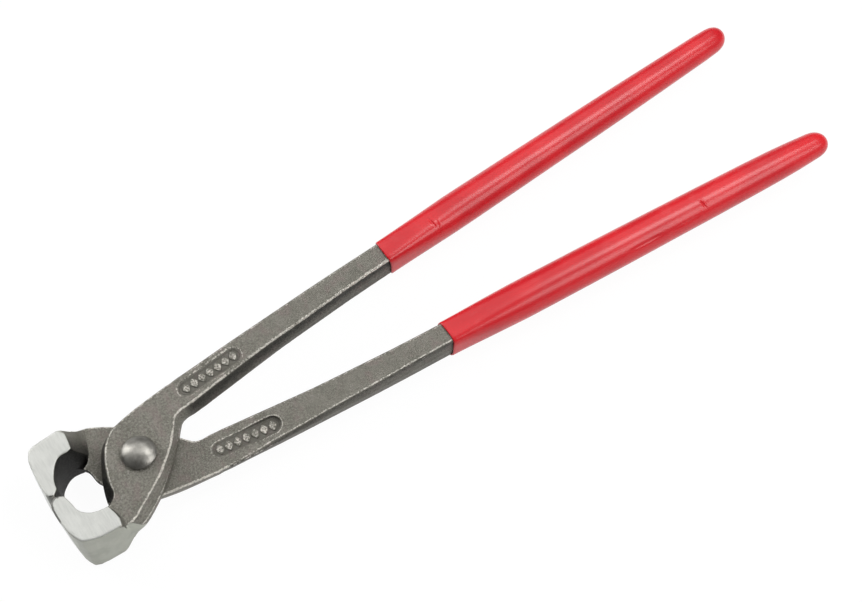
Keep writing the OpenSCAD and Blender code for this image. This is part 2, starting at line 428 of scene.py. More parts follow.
def cut_pocket(pieces, centre, turn, face, inward):
    """A recess with sloping walls, sunk towards inward in each piece."""
    floor = face + inward * POCKET_D
    mouth, bed = stadium(centre, turn, MOUTH_GROW), stadium(centre, turn, BED_GROW)
    levels = [(mouth, face - inward * CUTTER_RISE), (mouth, face), (bed, floor)]
    rings = [[(x, y, z) for x, y in outline] for outline, z in levels]
    for piece in pieces:
        combine(piece, loft("recess", rings), "DIFFERENCE")
    return floor


print("recess", POCKET_L, "by", POCKET_W, "and", POCKET_D, "deep")

# %% Set the lozenges
PIPS = 7
PIP_TURNS = 16
PIP_POWER = 1.3
PIP_ALONG = 1.45
PIP_ACROSS = 1.95
# Rise over the recess's floor, and share of the full width at that rise.
PIP_LEVELS = [(-0.5, 1.3), (0.3, 1.08), (0.46, 0.9), (0.5, 0.7)]


def lozenge(middle, along, across, floor, inward):
    """One flat-topped lozenge on a recess's floor."""
    rings = []
    for rise, grow in PIP_LEVELS:
        ring = []
        for k in range(PIP_TURNS):
            a = math.tau * k / PIP_TURNS
            c, s = math.cos(a), math.sin(a)
            shape = grow / (abs(c) ** PIP_POWER + abs(s) ** PIP_POWER) ** (1 / PIP_POWER)
            spot = middle + shape * (PIP_ALONG * c * along + PIP_ACROSS * s * across)
            ring.append((spot.x, spot.y, floor - inward * rise))
        rings.append(ring)
    return loft("lozenge", rings)


def lozenges(centre, turn, floor, inward):
    """A row of lozenges along the middle of a recess."""
    along = Vector((math.cos(turn), math.sin(turn)))
    across = Vector((-math.sin(turn), math.cos(turn)))
    pitch = (POCKET_L - POCKET_W) / (PIPS - 1)
    row = []
    for k in range(PIPS):
        middle = Vector(centre) + (k - (PIPS - 1) / 2) * pitch * along
        row.append(lozenge(middle, along, across, floor, inward))
    return row


# %% [markdown]
# ## One forging from its forms
#
# Plate, arm and jaw are joined into one skin with the voxel remesher. It takes whatever
# lies inside any of them as steel, so the overlaps vanish, and a few rounds of smoothing
# turn each seam into the small fillet that a die leaves. A boolean union with a bevel
# would need clean edge loops round every seam, and these forms cross at slight angles.

# %% Join the forms into one skin
VOXEL = 0.34
SOFTEN_ROUNDS = 4
SOFTEN_SHARE = 0.5
# The arm's underside has dropped this far at the recess in it.
DROP_THERE = 0.3


def join(pieces, name):
    """Joins pieces into one object's mesh without cutting them."""
    whole = bmesh.new()
    for piece in pieces:
        whole.from_mesh(piece.data)
    mesh = bpy.data.meshes.new(name)
    whole.to_mesh(mesh)
    whole.free()
    for piece in pieces:
        bpy.data.objects.remove(piece)
    return new_object(name, mesh)


def reskin(piece):
    """One closed skin round everything in the piece, smoothed."""
    remesh = piece.modifiers.new("voxels", "REMESH")
    remesh.mode = "VOXEL"
    remesh.voxel_size = VOXEL * MM
    remesh.use_smooth_shade = True
    soften = piece.modifiers.new("soften", "SMOOTH")
    soften.factor = SOFTEN_SHARE
    soften.iterations = SOFTEN_ROUNDS
    return settle(piece)


def make_forging():
    """The forging, and how many of its points are the skin's and not the lozenges'."""
    plate, arm = make_plate(), make_arm()
    face_floor = cut_pocket((plate, arm), *FACE_POCKET, FACE_Z, -1)
    mate_floor = cut_pocket((plate, arm), *MATE_POCKET, MATE_Z - DROP_THERE, 1)
    forging = reskin(join([plate, arm, make_jaw()], "front_forging"))
    skin_points = len(forging.data.vertices)
    marks = lozenges(*FACE_POCKET, face_floor, -1) + lozenges(*MATE_POCKET, mate_floor, 1)
    return shade_smooth(join([forging, *marks], "front_forging")), skin_points


forging, skin_points = make_forging()

# %% [markdown]
# ## Where the steel is worn, ground and dark
#
# On the real tool the finish follows the form. Edges that bend outwards wear bright under
# a painted highlight, the jaws are ground, and painted shade darkens the hollow, the
# throat, the slope, the arms' sides and the recess beds. An image could be painted for
# this, but numbers kept on the mesh's points need no unwrapping, and the shader reads
# them by name. Each is a product of fades over a point's place, in millimetres about the
# rivet, and over the way its surface faces.

# %% Helpers for numbers on points


def points_of(mesh, source, name):
    """An array of one vector per point."""
    values = np.empty(len(source) * 3, np.float32)
    source.foreach_get(name, values)
    return values.reshape(-1, 3)


def keep_values(mesh, name, values):
    """Stores one number per point for the shader."""
    layer = mesh.attributes.new(name, "FLOAT", "POINT")
    layer.data.foreach_set("value", np.asarray(values, np.float32))


def fade(values, low, high):
    """0 below low, 1 above high, smooth between."""
    t = np.clip((values - low) / (high - low), 0, 1)
    return t * t * (3 - 2 * t)


# %% Measure how the skin bends


def bend_of(mesh):
    """How sharply the skin bends outwards at each point, shared with its neighbours."""
    place = points_of(mesh, mesh.vertices, "co")
    normal = points_of(mesh, mesh.vertex_normals, "vector")
    ends = np.empty(len(mesh.edges) * 2, np.int32)
    mesh.edges.foreach_get("vertices", ends)
    a, b = ends.reshape(-1, 2).T
    along = place[b] - place[a]
    along /= np.linalg.norm(along, axis=1)[:, None] + 1e-12
    total = np.zeros(len(place))
    count = np.zeros(len(place))
    np.add.at(total, a, -(normal[a] * along).sum(1))
    np.add.at(total, b, (normal[b] * along).sum(1))
    np.add.at(count, a, 1)
    np.add.at(count, b, 1)
    bend = total / np.maximum(count, 1)
    spread = np.zeros(len(place))
    np.add.at(spread, a, bend[b])
    np.add.at(spread, b, bend[a])
    return 0.5 * bend + 0.5 * spread / np.maximum(count, 1)


# %% Find what was ground and what shines


def ground_faces(place, normal):
    """The jaw's end faces, its front and its outer side, each from 0 to 1."""
    x, y, z = place.T
    nx, ny, nz = normal.T
    end_face = fade(np.abs(z), jaw_z - 0.7, jaw_z - 0.2) * fade(np.abs(nz), 0.35, 0.75)
    front = fade(-x, 30.8, 31.6) * fade(-nx, 0.3, 0.55)
    outer = fade(-y, 18.6, 19.6) * fade(-ny, 0.3, 0.6) * fade(-(x + 0.95 * z), 9.1, 9.7)
    return end_face, front, outer


def jaw_shine(place, normal, front, bend):
    """Above 0: painted highlight on the front; below 0: painted shade in the bite and rim."""
    x, y, z = place.T
    ny = normal.T[1]
    shine = front * (1 - 0.9 * fade(-y, 10, 16))
    nip = fade(-x, 32.5, 33.2) * fade(y, -3, -2.4) * fade(ny, 0.2, 0.45)
    rim = fade(bend, 0.02, 0.06) * fade(z, 9.5, 10.3) * fade(-x, 31.2, 32) * fade(y, -10.5, -9)
    return shine - 1.8 * np.maximum(nip, 0.9 * rim)


# %% Find where shade is painted
# The hollow's middle, which its walls face.
HOLLOW_X = -21
HOLLOW_Y = -5


def jaw_shade(place, normal):
    """Painted shade on the hollow's walls, the throat and the slope, each from 0 to 1."""
    x, y, z = place.T
    nx, ny, _ = normal.T
    inward = (HOLLOW_X - x) * nx + (HOLLOW_Y - y) * ny
    inward /= np.hypot(HOLLOW_X - x, HOLLOW_Y - y) + 1e-6
    hollow = np.maximum(fade(inward, 0.1, 0.45), fade(ny, 0.5, 0.75))
    hollow *= fade(-x, 13.5, 15) * fade(x, -32.9, -32.3) * fade(y, -14.9, -14.2)
    throat = (fade(-x, 5, 9) * fade(-nx, 0.35, 0.6) * fade(FACE_Z - z, 0.5, 0.9)
              * fade(z, -0.1, 0.1) * fade(x, -20, -18.5))
    slope = fade(nx, 0.15, 0.4) * fade(-x, 11, 14) * (1 - fade(y, -9, -7))
    return hollow, throat, slope


def arm_shade(place, normal, skin):
    """Painted shade: the arm's inner side, outer side near the underside, recess beds."""
    x, y, z = place.T
    _, ny, nz = normal.T
    inner = fade(x, 21, 26) * fade(-ny, 0.5, 0.8) * fade(FACE_Z - z, 0.35, 0.9)
    inner *= 0.5 + 0.5 * fade(z, 0.5, 4)
    rise = z - MATE_Z + np.interp(x, [row[0] for row in ARM], [row[-1] for row in ARM])
    outside = fade(x, 21, 26) * fade(ny, 0.5, 0.8) * (0.5 + 0.5 * fade(-rise, -3.5, -0.8))
    sunk = fade(nz, 0.7, 0.9) * fade(FACE_Z - z, 0.4, 0.65) * fade(z, 4.8, 5)
    sunk += fade(-nz, 0.7, 0.9) * fade(z, 0.25, 0.45)
    sunk *= fade(x, 18, 20) * skin
    return inner, outside, sunk


# %% Keep every measure on the points
# Lozenge tops are rubbed bright under a painted highlight; their sides get painted shade.
LOZENGE_TOP = 0.046
LOZENGE_SIDE = -0.06


def damped_bend(place, normal, bend, sheltered):
    """The bend, with less of it in the hollow, on the parting line and in shade."""
    x, y, z = place.T
    ny = normal.T[1]
    parting = fade(x, 16, 20) * fade(np.abs(ny), 0.4, 0.7) * fade(FACE_Z - z, 1.2, 1.8)
    shaded = fade(ny * np.sign(z - PARTING_Z), 0.1, 0.5)
    framed = (1 - fade(np.abs(y - 13.7), 3.9, 4.6)) * fade(x, 20, 21) * fade(-x, -53, -52)
    bend = bend * ((1 - 0.9 * sheltered) * (1 - 0.5 * parting))
    return bend * ((1 - 0.65 * shaded) * (1 - 0.25 * framed))


def mark(forging, skin_points):
    """Keeps what the steel's finish reads on the forging's points."""
    mesh = forging.data
    place = points_of(mesh, mesh.vertices, "co") / MM - np.array(hinge)
    normal = points_of(mesh, mesh.vertex_normals, "vector")
    skin = np.arange(len(place)) < skin_points
    bend = bend_of(mesh)
    end_face, front, outer = ground_faces(place, normal)
    hollow, throat, slope = jaw_shade(place, normal)
    inner, outside, sunk = arm_shade(place, normal, skin)
    # Painted shade on the slope, darker towards the hollow.
    slope_shade = slope * (0.25 + 0.6 * fade(place.T[1], -21, -13))
    dark = [hollow, 0.8 * throat, slope_shade, 0.8 * inner, 0.3 * sunk, 0.55 * outside]
    # Edges that bend outwards are worn bright and carry a painted highlight, less of it in
    # shade.
    wear_and_glint = damped_bend(place, normal, bend, np.maximum(hollow, slope))
    raised = np.where(np.abs(normal.T[2]) > 0.75, LOZENGE_TOP, LOZENGE_SIDE)
    keep_values(mesh, "bend", np.where(skin, wear_and_glint, raised))
    keep_values(mesh, "ground", np.maximum(end_face, 0.7 * np.maximum(front, outer)))
    # The "scale" measure is where painted shade lies.
    keep_values(mesh, "scale", np.maximum.reduce(dark) * (1 - end_face))
    keep_values(mesh, "bright", jaw_shine(place, normal, front, bend))
    keep_values(mesh, "calm", fade(place.T[0], 40, 80))
    print("bend", [round(float(v), 3) for v in np.percentile(wear_and_glint, (1, 5, 50, 95, 99))])


mark(forging, skin_points)

# %% [markdown]
# ## The rivet
#
# The rivet's heads are low domes, pressed rather than turned: a flatter crown, a rim
# that rolls under, and a slightly uneven surface. A scaled sphere would be too round at
# its rim. A spun profile gives the form, and a little noise takes away the lathe-made
# look.

# %% Spin the rivet
HEAD_R = 6.4
SHANK_R = 4.45
DOME_TURNS = 96
DOME_STEPS = 18
# Where the rim rolls under: how far inside the head's edge, and share of its rise.
RIM = [(0.7, 0), (0.2, 0.14)]
RIM_SHARE = 0.3
CROWN_POWER = 1.7
SIDE_POWER = 0.97
CROWN_R = 0.05
CROWN_INSET = 0.3
UPPER_GAP = 0.08
LOWER_GAP = 0.02
SHANK_OVERLAP = 0.3
# Depth of a dent and how many to a millimetre, less of them inside this radius.
DENTS = [(0.05, 0.5), (0.02, 1.7)]
CALM_R = 3
SINK_SHARE = 0.4


def head_profile(seat, top):
    """Radius and height from the shank to the crown."""
    rise = top - seat
    profile = [(SHANK_R, seat - SHANK_OVERLAP)]
    profile += [(HEAD_R - inside, seat + share * rise) for inside, share in RIM]
    for k in range(DOME_STEPS):
        a = math.pi / 2 * k / DOME_STEPS
        height = RIM_SHARE + (1 - RIM_SHARE) * math.sin(a) ** CROWN_POWER
        profile.append((HEAD_R * math.cos(a) ** SIDE_POWER, seat + rise * height))
    return profile + [(CROWN_R, top)]


def dented(r, a, z):
    """A point of the spun rivet, moved a little by slow noise."""
    spot = Vector((r * math.cos(a), r * math.sin(a), z))
    dent = sum(depth * noise.noise(spot * pace) for depth, pace in DENTS)
    scale = 1 + dent * min(1, r / CALM_R) / max(r, 1)
    sink = math.copysign(SINK_SHARE * abs(dent), z)
    return spot.x * scale, spot.y * scale, z - sink


def make_rivet():
    print("rivet from", rivet_low.z, "to", rivet_high.z)
    upper = head_profile(FACE_Z + UPPER_GAP, rivet_high.z - CROWN_INSET)
    lower = [(r, -z) for r, z in head_profile(FACE_Z + LOWER_GAP, -rivet_low.z)]
    angles = [math.tau * k / DOME_TURNS for k in range(DOME_TURNS)]
    rings = [[dented(r, a, z) for a in angles] for r, z in lower[::-1] + upper]
    return shade_smooth(loft("peened_rivet", rings))


rivet = make_rivet()

# %% [markdown]
# ## The dipped sleeves
#
# The arms are dipped in liquid vinyl, which sets as a tight glossy skin. It follows the
# square arm at the lip and rounds out along the handle, then thins towards a domed end.
# A loft can turn from square to round on its way, which a swept circle can't. It has a
# ring every millimetre, and closer ones at a crease. Its first rings turn in under the
# lip, so that the wall shows its thickness. Each sleeve has its own small creases and
# rubs.

# %% Sizes of the sleeves
SQUARE = [
    (lip_x, 0.0), (lip_x + 2, 0.04), (lip_x + 9, 0.26), (lip_x + 20, 0.66),
    (lip_x + 32, 0.93), (lip_x + 42, 1.0), (tip_x, 1.0),
]
UPPER_R = [
    (lip_x, 7.0), (130, 7.1), (150, 7.25), (160, 7.2), (180, 7.08), (200, 6.9), (220, 6.74),
    (240, 6.52), (260, 6.2), (275, 5.92), (tip_x - 13, 5.75), (tip_x - 8, 5.55), (tip_x, 5.1),
]
LOWER_R = [
    (lip_x, 7.25), (130, 7.4), (150, 7.48), (160, 7.45), (180, 7.42), (200, 7.3), (220, 7.12),
    (240, 6.95), (260, 6.7), (273, 6.42), (tip_x - 16, 6.05), (tip_x - 8, 5.55), (tip_x, 5.1),
]
END_L = 8
TIP_SPOT = 0.0004
LIP_WALL = 0.8
SLEEVE_TURNS = 120
# Width, height, lift and roundness of the arm inside, and how the lip bows round it.
CORE_W = 9.6
CORE_H = 11.15
CORE_LIFT = 0.5
CORE_POWER = 0.47
LIP_BOW = 0.6
BOW_L = 12
# The handle's line from its bend to its end, and how far and how long it sits lower.
BEND_X = 98
BEND_Y = 20.0
END_Y = 32.6
SAG = 0.3
SAG_L = 34
# Depth of the vinyl's slow waves, and their pace along and round the sleeve.
WAVE = 0.03
WAVE_ALONG = 0.05
WAVE_ROUND = 0.6
print("sleeves from", lip_x, "to", tip_x)

# %% Draw a sleeve's section


def centre_y(x):
    """Distance of the handle's centre line from the middle plane."""
    straight = BEND_Y + (END_Y - BEND_Y) * (x - BEND_X) / (tip_x - BEND_X)
    return straight - SAG * min(1, max(0, (lip_x + SAG_L - x) / SAG_L))


def sleeve_ring(x, grow, radii, dents):
    """Section of the sleeve at x, wider by grow all round."""
    soft = read(SQUARE, x)[1]
    r = read(radii, x)[1]
    if x > tip_x - END_L:
        t = min(1, (x - tip_x + END_L) / END_L)
        r *= math.sqrt(max(TIP_SPOT, 1 - t ** 3))
    half_w = (1 - soft) * (CORE_W / 2 + LIP_WALL) + soft * r
    half_h = (1 - soft) * (CORE_H / 2 + LIP_WALL) + soft * r
    lift = (1 - soft) * CORE_LIFT
    power = CORE_POWER + (1 - CORE_POWER) * soft
    ring = []
    for k in range(SLEEVE_TURNS):
        a = math.tau * k / SLEEVE_TURNS
        c, s = math.cos(a), math.sin(a)
        y = math.copysign(abs(c) ** power, c)
        z = math.copysign(abs(s) ** power, s)
        sink = sum(dent(x, a) for dent in dents)
        sink += WAVE * noise.noise(Vector((x * WAVE_ALONG, c * WAVE_ROUND, s * WAVE_ROUND)))
        bow = -LIP_BOW * s * max(0, 1 - (x - lip_x) / BOW_L)
        ring.append((x + bow, centre_y(x) + (half_w + grow - sink) * y,
                     lift + (half_h + grow - sink) * z))
    return ring


# %% Draw creases and rubs
# A crease pinches up a ridge beside it: share of its depth, and distance in widths.
RIDGE = 0.6
RIDGE_OFF = 1.6


def bell(offset, width):
    """1 at no offset, and near 0 past twice the width."""
    return math.exp(-((offset / width) ** 2))


def turned_by(a, angle):
    """How far angle a lies from another, the short way round."""
    return (a - angle + math.pi) % math.tau - math.pi


def crease(x0, angle, depth, width, slant, reach):
    """A pinched line across the sleeve, centred at x0 and at an angle round it."""
    def sink(x, a):
        off = turned_by(a, angle)
        line = x - x0 - slant * off
        across = bell(line, width) - RIDGE * bell(line - RIDGE_OFF * width, width)
        return depth * across * bell(off, reach)
    return sink


def rub(x0, x1, angle, depth, spread):
    """A scuffed groove along the sleeve, deepest half-way."""
    def sink(x, a):
        if not x0 < x < x1:
            return 0.0
        swell = math.sin(math.pi * (x - x0) / (x1 - x0))
        return depth * swell * bell(turned_by(a, angle), spread)
    return sink


UPPER_CREASE_X = 141
UPPER_MARKS = [
    crease(140.6, 1.75, 0.22, 0.45, 1.4, 0.36), crease(142.2, 2.3, 0.1, 0.5, -1.2, 0.4),
]
LOWER_CREASE_X = 234
LOWER_MARKS = [
    crease(233.5, -1.15, 0.24, 0.45, 1.6, 0.26),
    rub(196, 214, -0.72, 0.24, 0.07), rub(218, 231, -0.62, 0.2, 0.06),
]
print("marks", len(UPPER_MARKS), "and", len(LOWER_MARKS))

# %% Skin both sleeves
LIP_INSET = 0.3
# Distance behind the lip and growth of each ring that turns in under it.
LIP_RINGS = [(6, 0.05 - LIP_WALL), (0.3, 0.1 - LIP_WALL), (0, 0.3 - LIP_WALL), (0.08, -0.12)]
FIRST_STEP = 0.45
RING_STEP = 1.0
CREASE_STEP = 0.25
CREASE_REACH = 5
END_RINGS = 22


def ring_places(crease_x):
    """Where the rings go: closer at a crease, and closer still towards the tip."""
    places = []
    x = lip_x + LIP_INSET + FIRST_STEP
    while x < tip_x - END_L - RING_STEP / 2:
        places.append(x)
        x += CREASE_STEP if abs(x - crease_x) < CREASE_REACH else RING_STEP
    for k in range(END_RINGS + 1):
        places.append(tip_x - END_L + END_L * math.sin(math.pi / 2 * k / END_RINGS))
    return places


def make_sleeve(name, radii, dents, crease_x, flip):
    """A sleeve on the upper arm, or turned over with it onto the lower one."""
    lip = lip_x + LIP_INSET
    rings = [sleeve_ring(lip + back, grow, radii, []) for back, grow in LIP_RINGS]
    rings += [sleeve_ring(x, 0.0, radii, dents) for x in ring_places(crease_x)]
    if flip:
        rings = [[(x, -y, -z) for x, y, z in ring] for ring in rings]
    return shade_smooth(loft(name, rings))


front_sleeve = make_sleeve("front_sleeve", UPPER_R, UPPER_MARKS, UPPER_CREASE_X, False)
rear_sleeve = make_sleeve("rear_sleeve", LOWER_R, LOWER_MARKS, LOWER_CREASE_X, True)

# %% [markdown]
# ## Shader maths
#
# A finish is a little sum: so much bright steel where the edge is worn, so much dark
# where the pits are. A small class wraps a socket so that such a sum can be written as
# Python arithmetic, and each operator adds one Math node. Every other node comes from
# one method, which sets the node's own settings first and then its sockets.

# %% A class for sums on sockets


class Signal:
    """A number that varies over a surface."""

    def __init__(self, finish, socket):
        self.finish = finish
        self.socket = socket

    def maths(self, operation, first, second, clamp=False):
        settings = {"operation": operation, "use_clamp": clamp}
        return self.finish.add("ShaderNodeMath", settings, {0: first, 1: second})

    def __add__(self, other):
        return self.maths("ADD", self, other)

    def __radd__(self, other):
        return self.maths("ADD", other, self)

    def __sub__(self, other):
        return self.maths("SUBTRACT", self, other)

    def __rsub__(self, other):
        return self.maths("SUBTRACT", other, self)

    def __mul__(self, other):
        return self.maths("MULTIPLY", self, other)

    def __rmul__(self, other):
        return self.maths("MULTIPLY", other, self)

    def clamped(self):
        return self.maths("ADD", self, 0.0, clamp=True)

    def between(self, low, high):
        """0 below low, 1 above high, smooth between."""
        settings = {"interpolation_type": "SMOOTHSTEP"}
        sockets = {"Value": self, "From Min": low, "From Max": high}
        return self.finish.add("ShaderNodeMapRange", settings, sockets)


# %% A class for one finish


class Finish:
    """A material and the nodes that make it."""

    def __init__(self, name):
        self.material = bpy.data.materials.new(name)
        self.material.use_nodes = True
        self.tree = self.material.node_tree
        self.tree.nodes.clear()

    def node(self, kind, settings=None, sockets=None):
        """Adds a node, sets it up, then sets or links its sockets."""
        node = self.tree.nodes.new(kind)
        for key, value in (settings or {}).items():
            setattr(node, key, value)
        for key, value in (sockets or {}).items():
            target = node.inputs[key]
            if isinstance(value, Signal):
                self.tree.links.new(value.socket, target)
            elif target.type == "RGBA":
                target.default_value = (*value, 1)
            else:
                target.default_value = value
        return node

    def add(self, kind, settings=None, sockets=None, output=0):
        """Adds a node and gives one of its outputs as a Signal."""
        return Signal(self, self.node(kind, settings, sockets).outputs[output])

    def place(self, stretch=(1, 1, 1)):
        """The surface's own place in millimetres, stretched."""
        coords = self.add("ShaderNodeTexCoord", output="Object")
        factor = tuple(s / MM for s in stretch)
        settings = {"operation": "MULTIPLY"}
        return self.add("ShaderNodeVectorMath", settings, {0: coords, 1: factor})

    def noise(self, place, size, detail, roughness=0.5):
        """Noise with features of about size millimetres, from 0 to 1."""
        sockets = {"Vector": place, "Scale": 1 / size}
        sockets |= {"Detail": detail, "Roughness": roughness}
        return self.add("ShaderNodeTexNoise", None, sockets)

    def kept(self, name):
        """A number that the mesh keeps on its points."""
        return self.add("ShaderNodeAttribute", {"attribute_name": name}, output="Fac")

    def mix(self, amount, low, high):
        """A colour between low and high."""
        sockets = {"Factor": amount, 6: low, 7: high}
        return self.add("ShaderNodeMix", {"data_type": "RGBA"}, sockets, output=2)

    def bump(self, height, distance, strength, under=None):
        """A normal from a height; distance is its depth in millimetres."""
        sockets = {"Height": height, "Distance": distance * MM, "Strength": strength}
        if under is not None:
            sockets["Normal"] = under
        return self.add("ShaderNodeBump", None, sockets)

    def close(self, surface):
        """Links the surface to the material's output, and gives the material."""
        self.node("ShaderNodeOutputMaterial", None, {"Surface": surface})
        return self.material

    def shade(self, **sockets):
        """The surface shader, with its sockets named by words."""
        named = {key.replace("_", " "): value for key, value in sockets.items()}
        return self.close(self.add("ShaderNodeBsdfPrincipled", None, named))


# %% [markdown]
# ## Forged steel
#
# The halves are bare steel straight from the hammer: grey-brown, satin, mottled by
# scale that came off in patches, with fine pits. Edges are rubbed bright in a broken
# line under a painted highlight, and painted shade darkens the hollows, the throat and
# the sides of the arms. One noise alone looks like cloth, so clouds, specks and a fine
# grain are mixed, each at its own size. The measures kept on the points say where each
# finish goes.

# %% Mix the forged steel
DULL = (0.146, 0.142, 0.117), (0.305, 0.292, 0.255)
BLUSH = (0.255, 0.21, 0.195)
PIT = (0.075, 0.068, 0.058)
SPARK = (0.46, 0.45, 0.41)
# Painted shade for concave corners and creases.
CORNER = (0.05, 0.045, 0.038)
SHADE_TONES = (0.003, 0.0028, 0.0023), (0.03, 0.028, 0.024)
RUB_AND_GLINT_TONES = (0.42, 0.4, 0.35), (0.78, 0.75, 0.68)


class SteelPatterns:
    """The patterns that every colour and bump of the halves is mixed from."""

    def __init__(self, finish):
        place = finish.place()
        self.cloud = finish.noise(place, 7.0, 4.0, 0.6)
        self.blush = finish.noise(finish.place((1.3, 0.8, 1)), 5.0, 3.0, 0.6)
        self.speck = finish.noise(place, 0.7, 3.0, 0.75)
        self.grain = finish.noise(place, 0.26, 2.0, 0.6)
        self.streak = finish.noise(finish.place((1, 0.12, 0.5)), 0.5, 3.0, 0.6)
        # The "scale" measure marks painted shade.
        self.scale = finish.kept("scale")
        self.ground = finish.kept("ground")
        self.bright = finish.kept("bright")
        bend = finish.kept("bend")
        broken = 1 + (self.speck - 0.5) * 2.2 + (self.blush - 0.5) * 1.6
        self.wear_and_glint = (bend * broken + (self.speck - 0.5) * 0.03).between(0.03, 0.07)
        # Concave places, the lozenges' sides among them, get painted shade.
        self.hollow = (0 - bend + (self.cloud - 0.5) * 0.03).between(0.02, 0.1)
        self.fresh = 1 - finish.kept("calm") * 0.6


def forged_colour(finish, patterns):
    """Mottled, pitted steel, flaked painted shade, and edges worn bright with painted
    highlight.
    """
    speck, fresh, scale = patterns.speck, patterns.fresh, patterns.scale
    pits = (speck + (patterns.grain - 0.5) * 0.7).between(0.6, 0.76) * fresh
    sparks = (patterns.grain + (speck - 0.5) * 0.8).between(0.62, 0.72) * fresh
    mottle = 0.5 + (speck - 0.5) * 0.75 * fresh + (patterns.cloud - 0.5) * 0.25
    dull = finish.mix(mottle.between(0.33, 0.67), *DULL)
    dull = finish.mix(patterns.blush.between(0.5, 0.66) * 0.5, dull, BLUSH)
    dull = finish.mix(pits * 0.6, dull, PIT)
    dull = finish.mix(sparks * 0.65, dull, SPARK)
    # Painted shade in concave corners.
    dull = finish.mix(patterns.hollow * 0.75, dull, CORNER)
    # Painted shade, nearly black and broken up in flakes, wherever the "scale" measure lies.
    shade_tone = finish.mix(mottle.between(0.42, 0.62), *SHADE_TONES)
    flaked = scale + scale * (1 - scale) * (speck.between(0.35, 0.65) - 0.5) * 2.2
    dull = finish.mix(flaked.clamped(), dull, shade_tone)
    # Edges rubbed bright by wear, with a painted highlight on them.
    rubbed_glint = finish.mix(speck.between(0.3, 0.6), *RUB_AND_GLINT_TONES)
    return finish.mix(patterns.wear_and_glint * 0.92, dull, rubbed_glint)


# %% [markdown]
# The jaws are ground to a pale finish after forging. A painted highlight lies on the
# front, and painted shade on the sides and in the bite. The wheel leaves streaks, which
# are the same noise stretched along one axis. The last mix lays this finish over the
# forged one, wherever the wheel has been.

# %% Mix the ground steel
PALE = (0.51, 0.515, 0.49), (0.57, 0.575, 0.545)
HAZE = (0.65, 0.655, 0.625)
SIDE = (0.4, 0.41, 0.355), (0.47, 0.48, 0.42)
FRONT_HIGHLIGHT = (0.84, 0.85, 0.82)
BITE_SHADE = (0.1, 0.1, 0.09)
PALE_CORNER_SHADE = (0.2, 0.195, 0.175)


def ground_colour(finish, patterns):
    """Streaked pale steel, painted shade on its sides and in the bite, painted highlight in
    front.
    """
    cloud, bright = patterns.cloud, patterns.bright
    pale = finish.mix(patterns.streak.between(0.3, 0.7), *PALE)
    pale = finish.mix(cloud.between(0.45, 0.7) * 0.4, pale, HAZE)
    # Painted shade: the jaw's outer side and front are darker than its end faces.
    side = finish.mix(cloud.between(0.35, 0.65), *SIDE)
    pale = finish.mix(patterns.ground.between(0.72, 0.95), side, pale)
    # Painted highlight on the jaw's front.
    pale = finish.mix(bright.between(0.2, 0.9), pale, FRONT_HIGHLIGHT)
    # Painted shade in the bite and along the front's rim.
    pale = finish.mix((0 - bright).between(0.0, 0.9) * 0.85, pale, BITE_SHADE)
    # Painted shade in the ground faces' concave corners.
    return finish.mix(patterns.hollow * 0.6, pale, PALE_CORNER_SHADE)


def forged_steel():
    finish = Finish("forged_steel")
    patterns = SteelPatterns(finish)
    cloud, streak = patterns.cloud, patterns.streak
    wear_and_glint, scale = patterns.wear_and_glint, patterns.scale
    ground = patterns.ground.between(0.05, 0.65)
    forged, pale = forged_colour(finish, patterns), ground_colour(finish, patterns)
    colour = finish.mix(ground, forged, pale)
    rough = 0.5 + (cloud - 0.5) * 0.12 - wear_and_glint * 0.12 + scale * 0.1
    rough = rough * (1 - ground) + ground * (0.42 + (streak - 0.5) * 0.1)
    metal = 0.55 + wear_and_glint * 0.2 - patterns.hollow * 0.3 - scale * 0.4
    metal = metal * (1 - ground) + ground * 0.3
    skin = finish.bump(cloud, 0.16, 0.6)
    rough_skin = (patterns.speck + patterns.grain * 0.6) * (1 - ground)
    skin = finish.bump(rough_skin, 0.42, 1.0, skin)
    skin = finish.bump(streak * ground, 0.03, 0.5, skin)
    return finish.shade(
        Base_Color=colour, Roughness=rough.clamped(), Metallic=metal.clamped(), Normal=skin,
        Specular_IOR_Level=0.25
    )


steel = forged_steel()
print("steel nodes", len(steel.node_tree.nodes))

# %% [markdown]
# ## Rivet steel
#
# The heads are smoother than the forging and reflect the lights as soft spots. A slow
# change of tone and fine dark pits keep them from looking new.

# %% Mix the rivet's steel
HEAD_TONES = (0.235, 0.226, 0.206), (0.34, 0.33, 0.302)
HEAD_PIT = (0.14, 0.13, 0.12)


def rivet_steel():
    finish = Finish("rivet_steel")
    place = finish.place()
    cloud = finish.noise(place, 2.4, 3.0, 0.6)
    grain = finish.noise(place, 0.3, 3.0, 0.7)
    tone = finish.mix(cloud.between(0.3, 0.7), *HEAD_TONES)
    tone = finish.mix(grain.between(0.62, 0.8) * 0.5, tone, HEAD_PIT)
    rough = 0.36 + (cloud - 0.5) * 0.2 + grain * 0.06
    skin = finish.bump(cloud, 0.1, 0.5)
    skin = finish.bump(grain, 0.04, 0.5, skin)
    return finish.shade(Base_Color=tone, Roughness=rough, Metallic=0.9, Normal=skin)


rivet_finish = rivet_steel()
print("rivet nodes", len(rivet_finish.node_tree.nodes))

# %% [markdown]
# ## Red vinyl
#
# Dipped vinyl is a strong even red under a wet-looking skin. The colour stays in the
# base, a thin coat gives the gloss, and slow ripples and faint smudges from handling
# break up the reflections. Nothing finer is added, because the real skin sets smooth.

# %% Mix the vinyl
REDS = (0.56, 0.011, 0.018), (0.64, 0.015, 0.022)
SMUDGED = (0.75, 0.3, 0.3)


